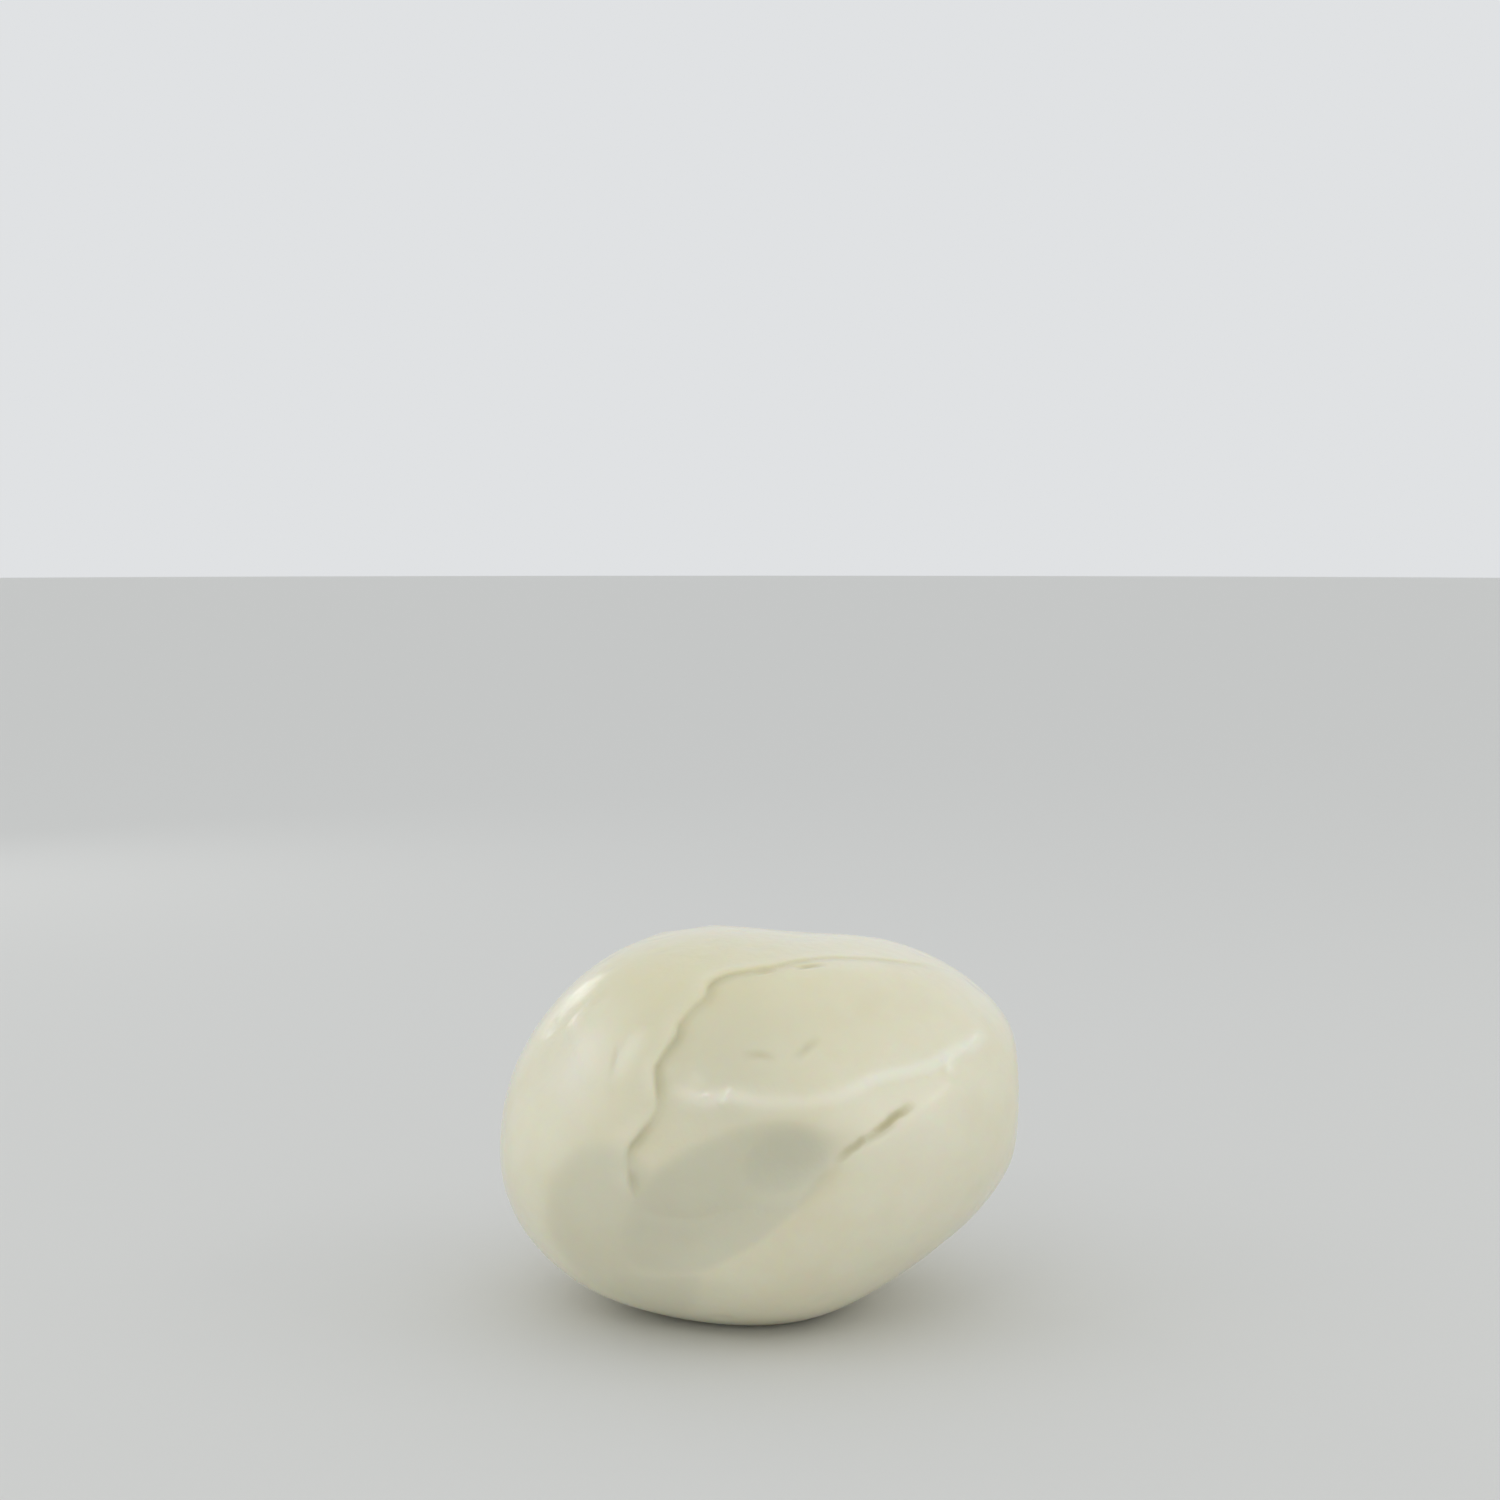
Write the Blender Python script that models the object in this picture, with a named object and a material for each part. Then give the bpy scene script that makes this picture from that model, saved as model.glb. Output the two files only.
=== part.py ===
"""A whole ball of fresh mozzarella, folded and pinched shut by hand, as one solid at its real size.

The ball starts as an uneven round, wider than it is deep or high. Its broad faces are then pressed
flatter, hollows sink into it, and folds, ridges and nicks run over its skin along named paths.
Last, it settles on a small flat spot.

Frame: metres, +Z up, the front faces -Y, and the origin lies under the middle of the ball, on the
surface that it rests on. Places on the skin are given in degrees as seen from the ball's middle:
longitude from the front towards +X, and latitude upwards.
"""

import math

import bmesh
import bpy
import numpy as np
from mathutils import Vector, noise

NAME = "mozzarella_ball"
MM = 0.001

# The uneven round.
MEAN_RADIUS = 32.8 * MM  # of the outline that the front shows
HALF_DEPTH = 34.4 * MM  # from the middle to the front, and to the back
FULLNESS = 2.25  # 2 is an ellipsoid, and more is boxier
# Waves in that outline: how many run round it, their height, and the angle of a crest above +X.
OUTLINE_WAVES = ((2, 5.1 * MM, 7.4), (3, 0.9 * MM, 12.0), (4, 1.1 * MM, 17.7))

# Faces pressed flatter: longitude, latitude, distance from the middle, softness of the edge.
PRESSED_FACES = (
    (16.0, 42.0, 30.6 * MM, 1.8 * MM),  # upper front, between the seam and the ridge
    (-58.0, 30.0, 33.2 * MM, 2.5 * MM),  # left lobe
    (-40.0, 87.5, 27.2 * MM, 4.0 * MM),  # top
    (165.0, 12.0, 33.4 * MM, 2.5 * MM),  # back
    (-118.0, -18.0, 36.6 * MM, 2.5 * MM),  # back left
    (90.0, -2.0, 37.1 * MM, 1.2 * MM),  # right side
)

# Hollows: longitude, latitude, tilt anticlockwise, half width, half height above and below the
# middle, depth, and softness of the rim.
HOLLOW_FLARE = 1.3  # 1 is a cone, and 2 is a bowl
HOLLOWS = (
    (-8.0, -11.0, 35.0, 17.2 * MM, 10.2 * MM, 5.4 * MM, 2.2 * MM, 0.08),  # under the front bulge
    (5.5, 2.0, 20.0, 6.9 * MM, 5.2 * MM, 5.2 * MM, 1.0 * MM, 0.1),  # its deeper right end
    (-34.0, -18.0, 0.0, 10.4 * MM, 12.8 * MM, 16.0 * MM, 2.0 * MM, 0.1),  # under the left lobe
    (100.0, 5.0, 70.0, 13.0 * MM, 7.0 * MM, 7.0 * MM, 0.8 * MM, 0.5),  # right side
    (-160.0, 30.0, 30.0, 15.0 * MM, 9.0 * MM, 9.0 * MM, 1.0 * MM, 0.5),  # back
)

# Paths over the skin: longitude, latitude and strength, from start to end. A fold has its lip on
# the left of its course, and its groove on the right.
SEAM = (
    (86, 38, 0.0), (70, 46, 0.3), (58, 54, 0.4), (45, 60, 0.4), (26, 61, 0.5), (7, 57, 0.5),
    (-4, 54, 0.6), (-12, 51, 0.7), (-17, 47, 0.9), (-17, 42, 0.7), (-20, 37, 0.5), (-22, 33, 0.8),
    (-22, 30, 1.0), (-24, 25, 0.8), (-25, 22, 1.0), (-24, 18, 1.0), (-23, 14, 0.5), (-24, 11, 0.5),
    (-27, 7, 0.9), (-29, 4, 0.7), (-29, 0, 0.3), (-29, -3, 0.8), (-28, -8, 0.0),
)
BACK_FOLD = (
    (-154, 34, 0.0), (-164, 30, 0.8), (-178, 28, 1.0), (170, 20, 0.9), (163, 4, 0.7), (166, -14, 0.0),
)
SIDE_FOLD = ((-143, 42, 0.0), (-132, 46, 0.8), (-120, 43, 0.7), (-111, 34, 0.0))
CREASE = (
    (17, 1, 0.0), (20, 4, 0.6), (23, 6, 0.7), (25, 7, 0.2), (28, 9, 0.8), (31, 11, 0.9), (33, 12, 0.7),
    (36, 14, 0.0),
)
RIDGE = (
    (-21, 18, 0.0), (-17, 17, 0.6), (-12, 16, 0.9), (-6, 17, 0.8), (1, 16, 0.6), (10, 16, 0.5),
    (18, 17, 0.6), (24, 19, 0.8), (30, 21, 1.0), (42, 21, 1.0), (50, 22, 1.0), (56, 22, 1.0),
    (61, 23, 0.6), (66, 24, 0.0),
)
LEFT_RIPPLE = ((-66, 30, 0.0), (-60, 28, 0.7), (-53, 25, 1.0), (-47, 21, 1.0), (-43, 16, 0.0))
RIGHT_RIPPLE = ((-33, 32, 0.0), (-33, 28, 0.9), (-34, 24, 1.0), (-35, 20, 0.8), (-37, 16, 0.0))
FOLDS = (SEAM, CREASE, BACK_FOLD, SIDE_FOLD)
PUCKER = (-150, 40)  # longitude and latitude of the pinched end

# How a fold is shaped, across its path.
LIP_HEIGHT = 0.4 * MM
LIP_SETBACK = 1.2 * MM  # from the path to the lip's crest
LIP_WIDTH = 1.2 * MM
GROOVE_DEPTH = 0.65 * MM
GROOVE_WIDTH = 1.3 * MM  # on its open side
GROOVE_WALL = 0.8 * MM  # on the lip's side

# The long ridge and the ripples: path, height and width.
RIDGES = (
    (RIDGE, 0.25 * MM, 1.0 * MM),
    (LEFT_RIPPLE, 0.45 * MM, 1.4 * MM),
    (RIGHT_RIPPLE, 0.45 * MM, 1.4 * MM),
)

# The pinched end.
PUCKER_RADIUS = 6.5 * MM
PUCKER_DEPTH = 1.6 * MM
PUCKER_PLEATS = 6
PLEAT_HEIGHT = 0.45 * MM

# Soft unevenness all over.
SWELL_SIZE = 17.0 * MM
SWELL_HEIGHT = 0.45 * MM

# The flat spot.
REST_HEIGHT = 27.1 * MM  # of the ball's middle above the surface
REST_SOFTNESS = 0.8 * MM

# The mesh.
SPHERE_LEVEL = 5
RIDGE_BAND = 2.4 * MM  # triangles nearer than this to any path are split once
FOLD_BAND = 1.2 * MM  # and nearer than this to a fold, once more

SKIN_COLOUR = (0.84, 0.80, 0.63, 1.0)
SKIN_ROUGHNESS = 0.36


def direction(longitude, latitude):
    """The unit vector from the ball's middle to a place on the skin."""
    lon, lat = math.radians(longitude), math.radians(latitude)
    return np.array((math.sin(lon) * math.cos(lat), -math.cos(lon) * math.cos(lat), math.sin(lat)))


def outline_radius(angle):
    """The outline's radius seen from the front, at an angle from +X towards +Z."""
    radius = np.full_like(angle, MEAN_RADIUS)
    for waves, height, crest in OUTLINE_WAVES:
        radius += height * np.cos(waves * (angle - math.radians(crest)))
    return radius


def uneven_round(ways):
    """The points where the directions in ways meet the round that the ball starts as."""
    x, y, z = ways.T
    across = np.hypot(x, z) / outline_radius(np.arctan2(z, x))
    deep = np.abs(y) / HALF_DEPTH
    reach = (across**FULLNESS + deep**FULLNESS) ** (-1 / FULLNESS)
    return ways * reach[:, None]


def press_flat(points, facing, distance, softness):
    """Pushes what stands beyond a plane back onto it, with a soft edge."""
    over = points @ facing - distance
    edge = np.clip(over + softness, 0, 2 * softness) ** 2 / (4 * softness)
    return points - np.outer(edge + np.maximum(over - softness, 0), facing)


def local_axes(longitude, latitude):
    """The directions right, up and out at a place on the skin, seen from outside."""
    out = direction(longitude, latitude)
    right = direction(longitude + 90, 0)
    return right, np.cross(out, right), out


def hollow(ways, longitude, latitude, tilt, half_width, above, below, depth, softness):
    """How far a hollow lowers the skin: a bowl with a crisp or a soft rim."""
    right, up, out = local_axes(longitude, latitude)
    turn = math.radians(tilt)
    across = MEAN_RADIUS * (ways @ (right * math.cos(turn) + up * math.sin(turn)))
    along = MEAN_RADIUS * (ways @ (up * math.cos(turn) - right * math.sin(turn)))
    half_height = np.where(along > 0, above, below)
    rim = 1 - ((across / half_width) ** 2 + (along / half_height) ** 2 + 0.02) ** (HOLLOW_FLARE / 2)
    inside = (rim + np.sqrt(rim**2 + softness**2)) / 2
    return np.where(ways @ out > 0, depth * inside, 0)


def smooth_path(stops, steps=12):
    """A smooth curve of directions and strengths through the stops of a path."""
    knots = np.array([(*direction(lon, lat), strength) for lon, lat, strength in stops])
    knots = np.vstack((2 * knots[0] - knots[1], knots, 2 * knots[-1] - knots[-2]))
    curve = []
    for before, start, end, after in zip(knots, knots[1:], knots[2:], knots[3:]):
        for t in np.linspace(0, 1, steps, endpoint=False):
            curve.append(
                0.5 * (2 * start + t * (end - before)
                       + t**2 * (2 * before - 5 * start + 4 * end - after)
                       + t**3 * (3 * start - before - 3 * end + after))
            )
    curve = np.array(curve + [knots[-2]])
    curve[:, :3] /= np.linalg.norm(curve[:, :3], axis=1)[:, None]
    return curve[:, :3], np.clip(curve[:, 3], 0, 1)


def beside_path(ways, stops):
    """For each direction, its distance from a path, above 0 on the right, and the strength there."""
    course, strengths = smooth_path(stops)
    rightward = np.cross(course, np.gradient(course, axis=0))
    nearest = np.argmax(ways @ course.T, axis=1)
    gap = ways - course[nearest]
    side = np.sign(np.einsum("ij,ij->i", gap, rightward[nearest]))
    return MEAN_RADIUS * side * np.linalg.norm(gap, axis=1), strengths[nearest]


def bump(distance, width):
    """A smooth rise of 1 at distance 0 that has gone at about twice the width."""
    return np.exp(-((distance / width) ** 2))


def fold(ways, stops):
    """The height of a fold: one edge of skin lies over the other, with a groove beside it."""
    right, strength = beside_path(ways, stops)
    lip = LIP_HEIGHT * bump(right + LIP_SETBACK, LIP_WIDTH)
    groove = GROOVE_DEPTH * bump(right, np.where(right > 0, GROOVE_WIDTH, GROOVE_WALL))
    return strength * (lip - groove)


def ridge(ways, stops, height, width):
    """The height of a ridge along a path."""
    right, strength = beside_path(ways, stops)
    return strength * height * bump(right, width)


def pucker(ways):
    """The height of the pinched end: a small pit with pleats that run out of it."""
    right, up, out = local_axes(*PUCKER)
    across, along = MEAN_RADIUS * (ways @ right), MEAN_RADIUS * (ways @ up)
    away = np.hypot(across, along)
    pleats = np.cos(PUCKER_PLEATS * np.arctan2(along, across) + away / PUCKER_RADIUS)
    ring = bump(away - PUCKER_RADIUS, PUCKER_RADIUS * 0.6)
    height = PLEAT_HEIGHT * pleats * ring - PUCKER_DEPTH * bump(away, PUCKER_RADIUS * 0.6)
    return np.where(ways @ out > 0, height, 0)


def swell(points):
    """The height of the soft unevenness all over."""
    return SWELL_HEIGHT * np.array([noise.noise(Vector(point) / SWELL_SIZE) for point in points])


def ball_points(ways):
    """The skin's points for directions from the middle, before the ball is set down."""
    points = uneven_round(ways)
    for longitude, latitude, distance, softness in PRESSED_FACES:
        points = press_flat(points, direction(longitude, latitude), distance, softness)
    height = swell(points) + pucker(ways)
    for stops in FOLDS:
        height += fold(ways, stops)
    for sizes in RIDGES:
        height += ridge(ways, *sizes)
    for sizes in HOLLOWS:
        height -= hollow(ways, *sizes)
    points = points + ways * height[:, None]
    return press_flat(points, np.array((0.0, 0.0, -1.0)), REST_HEIGHT, REST_SOFTNESS)


def split_near(bm, paths, band):
    """Splits the triangles of a sphere that lie in a band round some paths."""
    ways = unit_vertices(bm)
    near = np.zeros(len(ways), dtype=bool)
    for stops in paths:
        near |= np.abs(beside_path(ways, stops)[0]) < band
    edges = [edge for edge in bm.edges if any(near[vertex.index] for vertex in edge.verts)]
    bmesh.ops.subdivide_edges(bm, edges=edges, cuts=1, use_grid_fill=True)
    bmesh.ops.triangulate(bm, faces=bm.faces)


def skin_colour_material():
    """Fresh mozzarella: a moist, off-white cheese with a smooth skin."""
    material = bpy.data.materials.new("mozzarella_skin")
    material.use_nodes = True
    shader = material.node_tree.nodes["Principled BSDF"]
    shader.inputs["Base Color"].default_value = SKIN_COLOUR
    shader.inputs["Roughness"].default_value = SKIN_ROUGHNESS
    shader.inputs["Metallic"].default_value = 0.0
    return material


def unit_vertices(bm):
    """The directions of a mesh's vertices from its middle, in their order."""
    bm.verts.index_update()
    places = np.array([vertex.co for vertex in bm.verts], dtype=float)
    return places / np.linalg.norm(places, axis=1)[:, None]


def make_ball(collection):
    """Makes the ball from a sphere with finer triangles along its folds."""
    mesh = bpy.data.meshes.new(NAME)
    bm = bmesh.new()
    bmesh.ops.create_icosphere(bm, subdivisions=SPHERE_LEVEL, radius=1.0)
    split_near(bm, (*FOLDS, *[sizes[0] for sizes in RIDGES]), RIDGE_BAND)
    split_near(bm, FOLDS, FOLD_BAND)
    points = ball_points(unit_vertices(bm))
    lowest, highest = points.min(axis=0), points.max(axis=0)
    points -= ((lowest[0] + highest[0]) / 2, (lowest[1] + highest[1]) / 2, -REST_HEIGHT)
    for vertex, point in zip(bm.verts, points):
        vertex.co = point
    bmesh.ops.recalc_face_normals(bm, faces=bm.faces)
    bm.to_mesh(mesh)
    bm.free()
    mesh.shade_smooth()
    mesh.materials.append(skin_colour_material())
    ball = bpy.data.objects.new(NAME, mesh)
    collection.objects.link(ball)
    return ball


def main():
    """Clears the scene and makes the ball in its collection."""
    for old in list(bpy.data.objects):
        bpy.data.objects.remove(old)
    collection = bpy.data.collections.new(NAME)
    bpy.context.scene.collection.children.link(collection)
    make_ball(collection)


main()
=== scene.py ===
"""A whole ball of fresh mozzarella with its finished skin, standing on a plain pale floor.

The ball is one piece. Its form is pressed and hollowed in mesh code, from the same sizes as the
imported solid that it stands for. Geometry Nodes then lay the folds, the ridge and the nicks along
paths over the skin and sink the dimples into it. The file is laid out as an add-on with an operator
for the ball and one for the stage, and is run as a script.
"""

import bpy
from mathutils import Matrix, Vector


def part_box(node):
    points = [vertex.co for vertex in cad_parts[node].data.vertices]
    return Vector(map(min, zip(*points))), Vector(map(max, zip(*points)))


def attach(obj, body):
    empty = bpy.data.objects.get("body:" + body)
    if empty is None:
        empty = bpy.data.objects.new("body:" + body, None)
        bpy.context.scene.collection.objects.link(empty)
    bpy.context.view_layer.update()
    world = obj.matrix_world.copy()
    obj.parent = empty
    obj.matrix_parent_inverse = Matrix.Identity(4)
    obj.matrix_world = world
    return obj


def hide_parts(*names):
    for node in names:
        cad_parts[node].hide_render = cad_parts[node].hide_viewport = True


bl_info = {
    "name": "Mozzarella Ball",
    "version": (1, 0, 0),
    "blender": (4, 5, 0),
    "location": "3D View > Sidebar > Mozzarella",
    "description": "Forms, folds and finishes a ball of fresh mozzarella round its packed solid",
    "category": "Object",
}

import math

import bmesh
import bpy
import numpy as np
from bpy.props import FloatProperty, FloatVectorProperty, IntProperty, PointerProperty, StringProperty
from mathutils import Vector, noise

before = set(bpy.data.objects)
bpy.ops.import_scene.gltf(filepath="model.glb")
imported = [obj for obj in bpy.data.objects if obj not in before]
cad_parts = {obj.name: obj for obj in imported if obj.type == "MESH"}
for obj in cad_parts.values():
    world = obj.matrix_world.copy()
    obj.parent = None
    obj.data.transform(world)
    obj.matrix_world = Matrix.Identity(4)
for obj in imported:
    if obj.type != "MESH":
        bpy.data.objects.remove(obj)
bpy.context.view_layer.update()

NODE = "mozzarella_ball"
BODY = "root"
MM = 0.001

# Waves in the front's outline: how many run round it, their height, and a crest's angle above +X.
OUTLINE_WAVES = ((2, 5.1 * MM, 7.4), (3, 0.9 * MM, 12.0), (4, 1.1 * MM, 17.7))

# Faces pressed flatter: longitude, latitude, distance from the middle, softness of the edge.
PRESSED_FACES = (
    (16.0, 42.0, 30.6 * MM, 1.8 * MM),  # upper front, between the seam and the ridge
    (-58.0, 30.0, 33.2 * MM, 2.5 * MM),  # left lobe
    (-40.0, 87.5, 27.2 * MM, 4.0 * MM),  # top
    (165.0, 12.0, 33.4 * MM, 2.5 * MM),  # back
    (-118.0, -18.0, 36.6 * MM, 2.5 * MM),  # back left
    (90.0, -2.0, 37.1 * MM, 1.2 * MM),  # right side
)

# Hollows: longitude, latitude, tilt anticlockwise, half width, half height above and below the
# middle, depth, and softness of the rim.
HOLLOW_FLARE = 1.3  # 1 is a cone, and 2 is a bowl
HOLLOWS = (
    (-8.0, -11.0, 35.0, 17.2 * MM, 10.2 * MM, 5.4 * MM, 2.2 * MM, 0.08),  # under the front bulge
    (5.5, 2.0, 20.0, 6.9 * MM, 5.2 * MM, 5.2 * MM, 1.0 * MM, 0.1),  # its deeper right end
    (-34.0, -18.0, 0.0, 10.4 * MM, 12.8 * MM, 16.0 * MM, 2.0 * MM, 0.1),  # under the left lobe
    (100.0, 5.0, 70.0, 13.0 * MM, 7.0 * MM, 7.0 * MM, 0.8 * MM, 0.5),  # right side
    (-160.0, 30.0, 30.0, 15.0 * MM, 9.0 * MM, 9.0 * MM, 1.0 * MM, 0.5),  # back
)
PAINTED_HOLLOW_SHADE = (0.58, 0.72, 0.42, 0.2, 0.2)  # how much painted grey shade each hollow's skin gets

# Patches of painted shade or painted highlight: which paint, then longitude, latitude, radius and strength.
PATCHES = (
    ("painted_warm_shade", -45.0, 60.0, 22.0 * MM, 1.0),  # painted warm shade on the top, on the left
    ("painted_grey_shade", -9.0, 23.0, 12.0 * MM, 0.36),  # painted grey shade right of the seam
    ("painted_warm_shade", -9.0, 23.0, 12.0 * MM, 0.25),  # painted warm shade in the same place
    ("crest", -50.0, 22.0, 6.0 * MM, 0.55),  # painted highlight on the left lobe, round its longer ripple
    ("crest", 38.0, 8.0, 8.0 * MM, 0.4),  # painted highlight under the right end of the ridge
)

# Paths over the skin: longitude, latitude and strength, from start to end. A fold has its lip on
# the left of its course, and its groove on the right.
SEAM = (
    (86, 38, 0.0), (70, 46, 0.3), (58, 54, 0.4), (45, 60, 0.4), (26, 61, 0.5), (7, 57, 0.5),
    (-4, 54, 0.6), (-12, 51, 0.7), (-17, 47, 0.9), (-17, 42, 0.7), (-20, 37, 0.5), (-22, 33, 0.8),
    (-22, 30, 1.0), (-24, 25, 0.8), (-25, 22, 1.0), (-24, 18, 1.0), (-23, 14, 0.5), (-24, 11, 0.5),
    (-27, 7, 0.9), (-29, 4, 0.7), (-29, 0, 0.3), (-29, -3, 0.8), (-28, -8, 0.0),
)
DENT_FOLD = ((-27, -9, 0.0), (-24, -11, 0.15), (-18, -12, 0.2), (-11, -11, 0.15), (-6, -9, 0.0))
DENT_EDGE = ((18, 6, 0.0), (17, 1, 0.25), (14, -2, 0.35), (11, -6, 0.25), (8, -10, 0.0))
BACK_FOLD = (
    (-154, 34, 0.0), (-164, 30, 0.8), (-178, 28, 1.0), (170, 20, 0.9), (163, 4, 0.7), (166, -14, 0.0),
)
SIDE_FOLD = ((-143, 42, 0.0), (-132, 46, 0.8), (-120, 43, 0.7), (-111, 34, 0.0))
CREASE = (
    (17, 1, 0.0), (20, 4, 0.6), (23, 6, 0.7), (25, 7, 0.2), (28, 9, 0.8), (31, 11, 0.9), (33, 12, 0.7),
    (36, 14, 0.0),
)
RIDGE = (
    (-21, 18, 0.0), (-17, 17, 0.6), (-12, 16, 0.9), (-6, 17, 0.8), (1, 16, 0.6), (10, 16, 0.5),
    (18, 17, 0.6), (24, 19, 0.8), (30, 21, 1.0), (42, 21, 1.0), (50, 22, 1.0), (56, 22, 1.0),
    (61, 23, 0.6), (66, 24, 0.0),
)
LEFT_RIPPLE = ((-66, 30, 0.0), (-60, 28, 0.7), (-53, 25, 1.0), (-47, 21, 1.0), (-43, 16, 0.0))
RIGHT_RIPPLE = ((-33, 32, 0.0), (-33, 28, 0.9), (-34, 24, 1.0), (-35, 20, 0.8), (-37, 16, 0.0))
RIDGE_SPUR = ((45, 21, 0.0), (47, 19, 0.7), (46, 16, 0.0))
POCKET = ((-40, 27, 0.0), (-38, 23, 0.2), (-36, 18, 0.0))
# The beads are small bumps on the ridge that carry a strong painted highlight.
LEFT_BEAD = ((-14, 16, 0.0), (-12, 17, 1.0), (-10, 17, 0.0))
RIGHT_BEAD = ((-9, 15, 0.0), (-8, 16, 1.0), (-7, 18, 0.9), (-6, 19, 0.0))
END_BEAD = ((50, 21, 0.0), (54, 22, 0.9), (58, 23, 1.0), (62, 24, 0.0))
CREASE_PIT = ((22, 5, 0.0), (25, 7, 0.3), (29, 9, 0.3), (33, 12, 0.0))
SHORT_PIT = ((-4, 27, 0.0), (1, 28, 0.3), (6, 27, 0.0))
SLANTED_PIT = ((10, 27, 0.0), (14, 30, 0.28), (19, 33, 0.0))
SMALL_TOP_PIT = ((-3, 53, 0.0), (3, 55, 0.35), (9, 56, 0.0))
LONG_TOP_PIT = ((17, 56, 0.0), (26, 57, 0.5), (36, 56, 0.0))
FOLDS = {"seam": SEAM, "dent_fold": DENT_FOLD, "dent_edge": DENT_EDGE, "back_fold": BACK_FOLD,
         "side_fold": SIDE_FOLD}
NICKS = {"crease": CREASE}
RIDGES = {"ridge": RIDGE, "ridge_spur": RIDGE_SPUR}
RIPPLES = {"left_ripple": LEFT_RIPPLE, "right_ripple": RIGHT_RIPPLE}
BEADS = {"left_bead": LEFT_BEAD, "right_bead": RIGHT_BEAD, "end_bead": END_BEAD}
PITS = {"pocket": POCKET, "crease_pit": CREASE_PIT, "short_pit": SHORT_PIT, "slanted_pit": SLANTED_PIT,
        "small_top_pit": SMALL_TOP_PIT, "long_top_pit": LONG_TOP_PIT}
PUCKER = (-150, 40)  # longitude and latitude of the pinched end

# Cross-sections of what runs along the paths, drawn from 0 at the far left to 1 at the far right,
# with the path at 0.5. A height of 0.5 is level with the skin.
FOLD_SECTION = (
    (0.0, 0.5), (0.12, 0.51), (0.24, 0.55), (0.33, 0.59), (0.39, 0.6), (0.44, 0.53), (0.485, 0.36),
    (0.53, 0.27), (0.59, 0.29), (0.67, 0.39), (0.8, 0.47), (1.0, 0.5),
)
FOLD_LEAN = ((0.0, 0.0), (0.27, 0.0), (0.37, 0.5), (0.44, 1.0), (0.5, 0.0), (1.0, 0.0))
NICK_SECTION = (
    (0.0, 0.5), (0.2, 0.51), (0.32, 0.54), (0.4, 0.46), (0.46, 0.2), (0.52, 0.14), (0.58, 0.22),
    (0.66, 0.46), (0.78, 0.53), (1.0, 0.5),
)
RIDGE_SECTION = (
    (0.0, 0.5), (0.15, 0.52), (0.3, 0.67), (0.42, 0.93), (0.5, 1.0), (0.58, 0.93), (0.7, 0.67),
    (0.85, 0.52), (1.0, 0.5),
)
PIT_SECTION = ((0.0, 0.5), (0.2, 0.48), (0.4, 0.12), (0.5, 0.0), (0.6, 0.12), (0.8, 0.48), (1.0, 0.5))
NO_LEAN = ((0.0, 0.0), (1.0, 0.0))

# The mesh: triangles nearer than these to a path are split once more, one band after the other.
SPLIT_BANDS = (2.8 * MM, 1.3 * MM)


def linear(hex_colour):
    """The linear colour of an sRGB hex value such as F4EFD9."""
    channels = [int(hex_colour[at:at + 2], 16) / 255 for at in (0, 2, 4)]
    return [c / 12.92 if c <= 0.04045 else ((c + 0.055) / 1.055) ** 2.4 for c in channels] + [1.0]


class BallForm(bpy.types.PropertyGroup):
    """Colours and gloss of the skin, and the colours of its painted shade and painted highlight."""

    mean_radius: FloatProperty(
        name="Mean Radius", description="Mean radius of the outline that the front shows",
        default=32.8 * MM, unit="LENGTH")
    half_depth: FloatProperty(
        name="Half Depth", description="From the middle to the front, and to the back",
        default=34.4 * MM, unit="LENGTH")
    fullness: FloatProperty(
        name="Fullness", description="2 is an ellipsoid, and more is boxier", default=2.25, min=2.0)
    swell_size: FloatProperty(
        name="Swell Size", description="Size of the soft unevenness all over",
        default=17.0 * MM, unit="LENGTH")
    swell_height: FloatProperty(
        name="Swell Height", description="Height of the soft unevenness all over",
        default=0.45 * MM, unit="LENGTH")
    pucker_radius: FloatProperty(
        name="Pucker Radius", description="Where the pleats of the pinched end are highest",
        default=6.5 * MM, unit="LENGTH")
    pucker_depth: FloatProperty(
        name="Pucker Depth", description="Depth of the pinched end's pit",
        default=1.6 * MM, unit="LENGTH")
    pleats: IntProperty(
        name="Pleats", description="Pleats that run out of the pinched end", default=6, min=3)
    pleat_height: FloatProperty(
        name="Pleat Height", description="Height of those pleats", default=0.45 * MM, unit="LENGTH")
    rest_height: FloatProperty(
        name="Rest Height", description="The ball's middle above the surface",
        default=27.1 * MM, unit="LENGTH")
    rest_softness: FloatProperty(
        name="Rest Softness", description="Softness of the flat spot's edge",
        default=0.8 * MM, unit="LENGTH")
    sphere_level: IntProperty(
        name="Sphere Level", description="Fineness of the mesh", default=7, min=4, max=7)


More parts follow.
